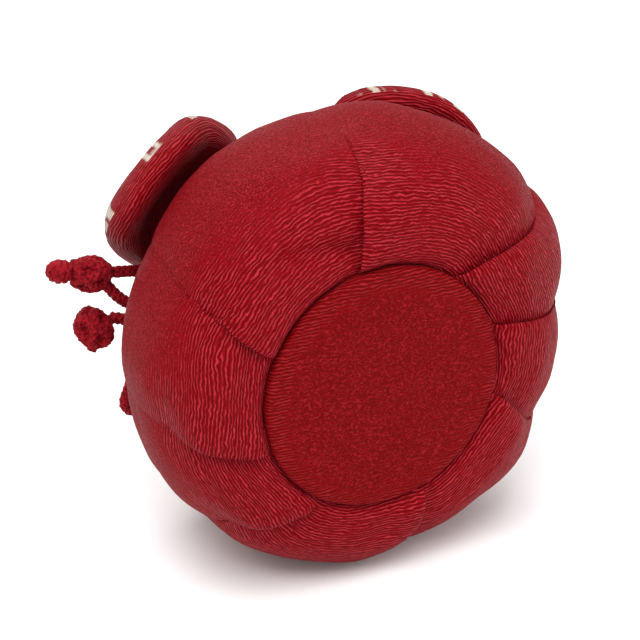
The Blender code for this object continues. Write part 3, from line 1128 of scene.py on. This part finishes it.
@dataclass
class Tail:
    """A free end of a drawcord, from the neck to its knot."""

    placed: Placed
    finish: bpy.types.Material
    braid: Braid
    name: str
    route: list
    node: str
    length: float
    with_pieces: tuple = ()

    def line(self) -> np.ndarray:
        """The cord's own line, in local mm."""
        return evenly(through(self.route, 400), self.braid.spacing)

    def build(self) -> bpy.types.Object:
        """Braid the cord along its route.

        Returns:
            The cord.
        """
        patch = Patch(self.placed)
        line = self.line()
        self.braid.lay_along(patch, line)
        cord = patch.build(self.name, self.finish, merge=0.002)
        settle(cord, Slot.CORD, self.node)
        path = self.placed.world(line[::2]).tolist()
        2.0 * self.braid.radius * MM
        return cord


@dataclass
class Knot:
    """A cord knotted tight on itself: three crossing loops drawn into a ball."""

    placed: Placed
    finish: bpy.types.Material
    braid: Braid
    name: str
    middle: Point
    half_sizes: Point
    tilt: float
    node: str
    roll: float = 0.0
    sweep: float = 58.0  # how far towards the knot's ends the cord weaves, in degrees

    def loops(self) -> np.ndarray:
        """The closed line of a cord that passes three times round the knot, weaving from end to end."""
        t = np.linspace(0.0, 2.0 * math.pi, 600)
        latitude = math.radians(self.sweep) * np.sin(4.0 * t)
        radial = 1.0 + 0.10 * np.cos(9.0 * t + 0.5)
        round_it = np.cos(latitude)
        line = np.stack([np.sin(latitude), round_it * np.cos(3.0 * t), round_it * np.sin(3.0 * t)], axis=1)
        room = np.array(self.half_sizes) - self.braid.radius
        return self.turned(line * radial[:, None] * room)

    def turned(self, line: np.ndarray) -> np.ndarray:
        """Points turned about the knot's middle and moved there."""
        tilt, roll = math.radians(self.tilt), math.radians(self.roll)
        c, s = math.cos(tilt), math.sin(tilt)
        lean = np.array([[c, 0, -s], [0, 1, 0], [s, 0, c]])
        c, s = math.cos(roll), math.sin(roll)
        spin = np.array([[1, 0, 0], [0, c, -s], [0, s, c]])
        return line @ spin.T @ lean.T + np.array(self.middle)

    def core(self, patch: Patch) -> None:
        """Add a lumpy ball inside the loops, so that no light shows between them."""
        a = np.linspace(0.0, math.pi, 14)[:, None]
        b = np.linspace(0.0, 2.0 * math.pi, 24, endpoint=False)[None, :]
        unit = np.stack([np.cos(a) + 0.0 * b, np.sin(a) * np.cos(b), np.sin(a) * np.sin(b)], axis=-1)
        lumpy = 0.66 + 0.05 * rumple(unit * 3.0, 1.0, 2.0)
        ball = unit * lumpy[..., None] * np.array(self.half_sizes)
        grid = self.turned(ball.reshape(-1, 3)).reshape(unit.shape)
        patch.add_grid(grid, np.stack([a * 4.0 + 0.0 * b, b * 3.0 + 0.0 * a], axis=-1), closed=True)

    def build(self) -> bpy.types.Object:
        """Wind the knot.

        Returns:
            The knot.
        """
        patch = Patch(self.placed)
        line = evenly(self.loops(), self.braid.spacing)
        self.braid.lay_along(patch, line, closed=True)
        self.core(patch)
        knot = patch.build(self.name, self.finish, merge=0.002)
        return settle(knot, Slot.CORD, self.node)


@dataclass
class KnotTip(Knot):
    """The cord's own end, drawn up into a small ball beyond the knot."""

    def build(self) -> bpy.types.Object:
        """Braid a short end whose size swells and closes.

        Returns:
            The tip.
        """
        patch = Patch(self.placed)
        x = np.linspace(-1.0, 1.0, 26)
        line = self.turned(np.stack([x * self.half_sizes[0], 0.0 * x, 0.0 * x], axis=1))
        swell = np.sqrt(np.maximum(1.0 - x**2, 0.02)) * self.half_sizes[1] / self.braid.radius
        self.braid.lay_along(patch, line, swell=swell)
        self.core(patch)
        tip = patch.build(self.name, self.finish, merge=0.002)
        return settle(tip, Slot.CORD, self.node)


@dataclass
class NeckCords:
    """Both drawcords where they run side by side round the gathered neck."""

    placed: Placed
    finish: bpy.types.Material
    braid: Braid
    across: float = 4.0
    up: float = 4.2
    ring: float = 10.4
    depths: tuple = (67.6, 70.2)

    def build(self) -> bpy.types.Object:
        """Lay the two rings.

        Returns:
            The cords round the neck.
        """
        patch = Patch(self.placed)
        turn = np.linspace(0.0, 2.0 * math.pi, 300)
        for number, depth in enumerate(self.depths):
            wide = self.ring + 0.25 * np.sin(7.0 * turn + number)
            up = self.up + wide * np.sin(turn)
            line = np.stack([self.across + wide * np.cos(turn), depth + 0.0 * turn, up], axis=1)
            self.braid.lay_along(patch, evenly(line, self.braid.spacing), closed=True)
        cords = patch.build("neck_cords", self.finish, merge=0.002)
        return settle(cords, Slot.CORD, "drawcord_ring")


@dataclass
class Cordage:
    """Everything made of cord: the neck's rings, three tails and their knots."""

    placed: Placed
    finish: bpy.types.Material
    braid: Braid = field(default_factory=Braid)
    tight: Braid = field(default_factory=lambda: Braid(1.45, 6.4, 4, 0.60, 0.22, 6, 0.40))
    route_upper: tuple = (
        (-8.8, 68.8, 6.7), (-14.0, 68.9, 7.5), (-21.0, 68.2, 9.2), (-29.0, 66.0, 11.8),
        (-36.5, 62.6, 15.0), (-42.0, 59.6, 17.2), (-47.2, 58.0, 18.6),
    )
    route_link: tuple = (
        (-9.0, 68.8, 3.2), (-14.0, 68.7, 3.2), (-21.0, 67.8, 3.6), (-29.0, 65.4, 4.6),
        (-36.5, 61.8, 6.4), (-42.3, 59.0, 8.2), (-46.4, 57.8, 11.6), (-49.8, 57.4, 16.2),
    )
    route_lower: tuple = (
        (-8.2, 68.8, -0.4), (-13.5, 69.2, -2.2), (-20.0, 69.2, -5.5), (-26.5, 68.6, -10.5),
        (-33.2, 68.6, -15.9), (-38.6, 67.1, -21.7), (-42.0, 64.5, -25.0), (-45.0, 62.6, -21.5),
        (-43.6, 61.6, -16.0), (-41.8, 60.6, -9.0), (-42.2, 59.4, -1.6), (-44.6, 58.2, 4.4),
        (-49.0, 57.4, 6.6),
    )
    length_upper: float = 41.0
    length_link: float = 48.0
    length_lower: float = 80.0

    def knots(self) -> list[Knot]:
        """The knots and the small end beyond the upper one."""
        kit = (self.placed, self.finish, self.tight)
        upper = Knot(*kit, "upper_knot", (-53.4, 57.6, 19.8), (6.0, 4.8, 4.8), -14.0, "knot_upper", 35.0)
        tip_middle, tip_sizes = (-61.2, 57.6, 21.8), (3.5, 2.9, 2.9)
        tip = KnotTip(*kit, "upper_knot_end", tip_middle, tip_sizes, -14.0, "knot_upper_tip")
        lower = Knot(*kit, "lower_knot", (-53.9, 57.2, 4.7), (6.2, 4.9, 4.9), -72.0, "knot_lower", 20.0)
        return [upper, tip, lower]

    def build(self) -> list[bpy.types.Object]:
        """Make the knots, the tails that end in them, and the cords round the neck.

        Returns:
            Every piece made.
        """
        upper, tip, lower = (knot.build() for knot in self.knots())
        tails = [
            Tail(self.placed, self.finish, self.braid, "cord_tail_upper", list(self.route_upper),
                 "drawcord_tail_upper", self.length_upper, (upper, tip)),
            Tail(self.placed, self.finish, self.braid, "cord_tail_link", list(self.route_link),
                 "drawcord_tail_link", self.length_link),
            Tail(self.placed, self.finish, self.braid, "cord_tail_lower", list(self.route_lower),
                 "drawcord_tail_lower", self.length_lower, (lower,)),
        ]
        ring = NeckCords(self.placed, self.finish, self.braid)
        return [upper, tip, lower, *(tail.build() for tail in tails), ring.build()]


# ---------------------------------------------------------------- studio


@dataclass
class Studio:
    """The camera, a plain pale floor and soft light."""

    placed: Placed
    azimuth: float = -28.0
    elevation: float = 27.4
    distance: float = 475.3
    lens: float = 110.0
    base_right: float = 0.1048  # where the base's middle falls in the frame, as shares of its width
    base_below: float = 0.1105

    def add_camera(self) -> None:
        """Look at the base from in front, above and to its left, without roll."""
        a, e = math.radians(self.azimuth), math.radians(self.elevation)
        back = Vector((math.sin(a) * math.cos(e), -math.cos(a) * math.cos(e), math.sin(e)))
        data = bpy.data.cameras.new("camera")
        data.lens, data.sensor_width = self.lens, 36.0
        data.shift_x, data.shift_y = -self.base_right, self.base_below
        data.clip_start, data.clip_end = 0.01, 20.0
        camera = bpy.data.objects.new("camera", data)
        camera.location = Vector(self.placed.centre) + back * self.distance * MM
        camera.rotation_euler = (-back).to_track_quat("-Z", "Y").to_euler()
        bpy.context.scene.collection.objects.link(camera)
        bpy.context.scene.camera = camera

    def add_floor(self) -> None:
        """A wide plain floor under the pouch."""
        work = bmesh.new()
        bmesh.ops.create_grid(work, x_segments=2, y_segments=2, size=6.0)
        mesh = bpy.data.meshes.new("floor")
        work.to_mesh(mesh)
        work.free()
        mesh.materials.append(StageFinish().material())
        floor = bpy.data.objects.new("floor", mesh)
        bpy.context.scene.collection.objects.link(floor)

    def add_light(self, name: str, place: Point, size: float, power: float) -> None:
        """A soft square light at a place in metres, aimed at the pouch."""
        data = bpy.data.lights.new(name, "AREA")
        data.size, data.energy = size, power
        light = bpy.data.objects.new(name, data)
        light.location = place
        aim = Vector((0.0, 0.0, 0.05)) - Vector(place)
        light.rotation_euler = aim.to_track_quat("-Z", "Y").to_euler()
        bpy.context.scene.collection.objects.link(light)

    def add_world(self) -> None:
        """An even white surround."""
        world = bpy.data.worlds.new("surround")
        world.use_nodes = True
        world.node_tree.nodes["Background"].inputs["Color"].default_value = (1.0, 1.0, 1.0, 1.0)
        world.node_tree.nodes["Background"].inputs["Strength"].default_value = 0.70
        bpy.context.scene.world = world

    def build(self) -> None:
        """Set everything up."""
        self.add_camera()
        self.add_floor()
        self.add_world()
        self.add_light("key", (-0.32, -0.42, 1.05), 0.8, 11.5)
        self.add_light("fill", (0.75, -0.8, 0.55), 0.8, 3.2)
        self.add_light("back", (0.1, 0.8, 0.8), 0.7, 5.0)
        bpy.context.scene.view_settings.view_transform = "Standard"


# ---------------------------------------------------------------- the whole pouch


def build_petals(placed: Placed, finish: bpy.types.Material) -> list[bpy.types.Object]:
    """The four petals round the mouth."""
    kit = (placed, finish)
    hugging, rolled = {"corner": 0.33}, {"plain_rim": 1.0}
    petals = [
        Petal(*kit, "petal_leaf_upper_left", 136.5, 30.0, 61.5, "petal_upper_left", 0.1, 1.7, **hugging),
        Petal(*kit, "petal_leaf_upper_right", 43.0, 27.0, 61.0, "petal_upper_right", 0.9, 6.2, **rolled),
        Petal(*kit, "petal_leaf_lower_left", 240.0, 28.0, 58.0, "petal_lower_left", 0.5, 9.4),
        Petal(*kit, "petal_leaf_lower_right", 315.0, 29.0, 58.5, "petal_lower_right", 0.5, 12.1),
    ]
    return [petal.build() for petal in petals]


def main() -> None:
    """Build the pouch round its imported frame."""
    logging.basicConfig(level=logging.INFO, format="%(message)s")
    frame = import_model()
    placed = Placed.from_base("base_cover")
    Studio(placed).build()
    Cordage(placed, CordFinish().material()).build()
    crepe = CrepeFinish("red_crepe").material()
    bag = Bag(placed, crepe)
    bag.build()
    Lining(placed, LiningFinish().material(), bag).build()
    # The base's cover gets a darker copy of the bag's crepe colours: painted shade on the base.
    disc_painted_shade_colours = {"valley": (0.115, 0.0, 0.0), "body": (0.175, 0.0, 0.001), "crest_painted_highlight": (0.30, 0.010, 0.016)}
    shaded_disc_crepe = CrepeFinish("base_crepe", **disc_painted_shade_colours, grain_stretch=(0.75, 1.0, 1.25)).material()
    disc = BaseDisc(placed, shaded_disc_crepe, CardFinish().material())
    disc.build()
    disc.dress_card(frame["nodes"]["base_board"])
    build_petals(placed, PatternedCrepeFinish("patterned_crepe").material())


if __name__ == "__main__":
    main()
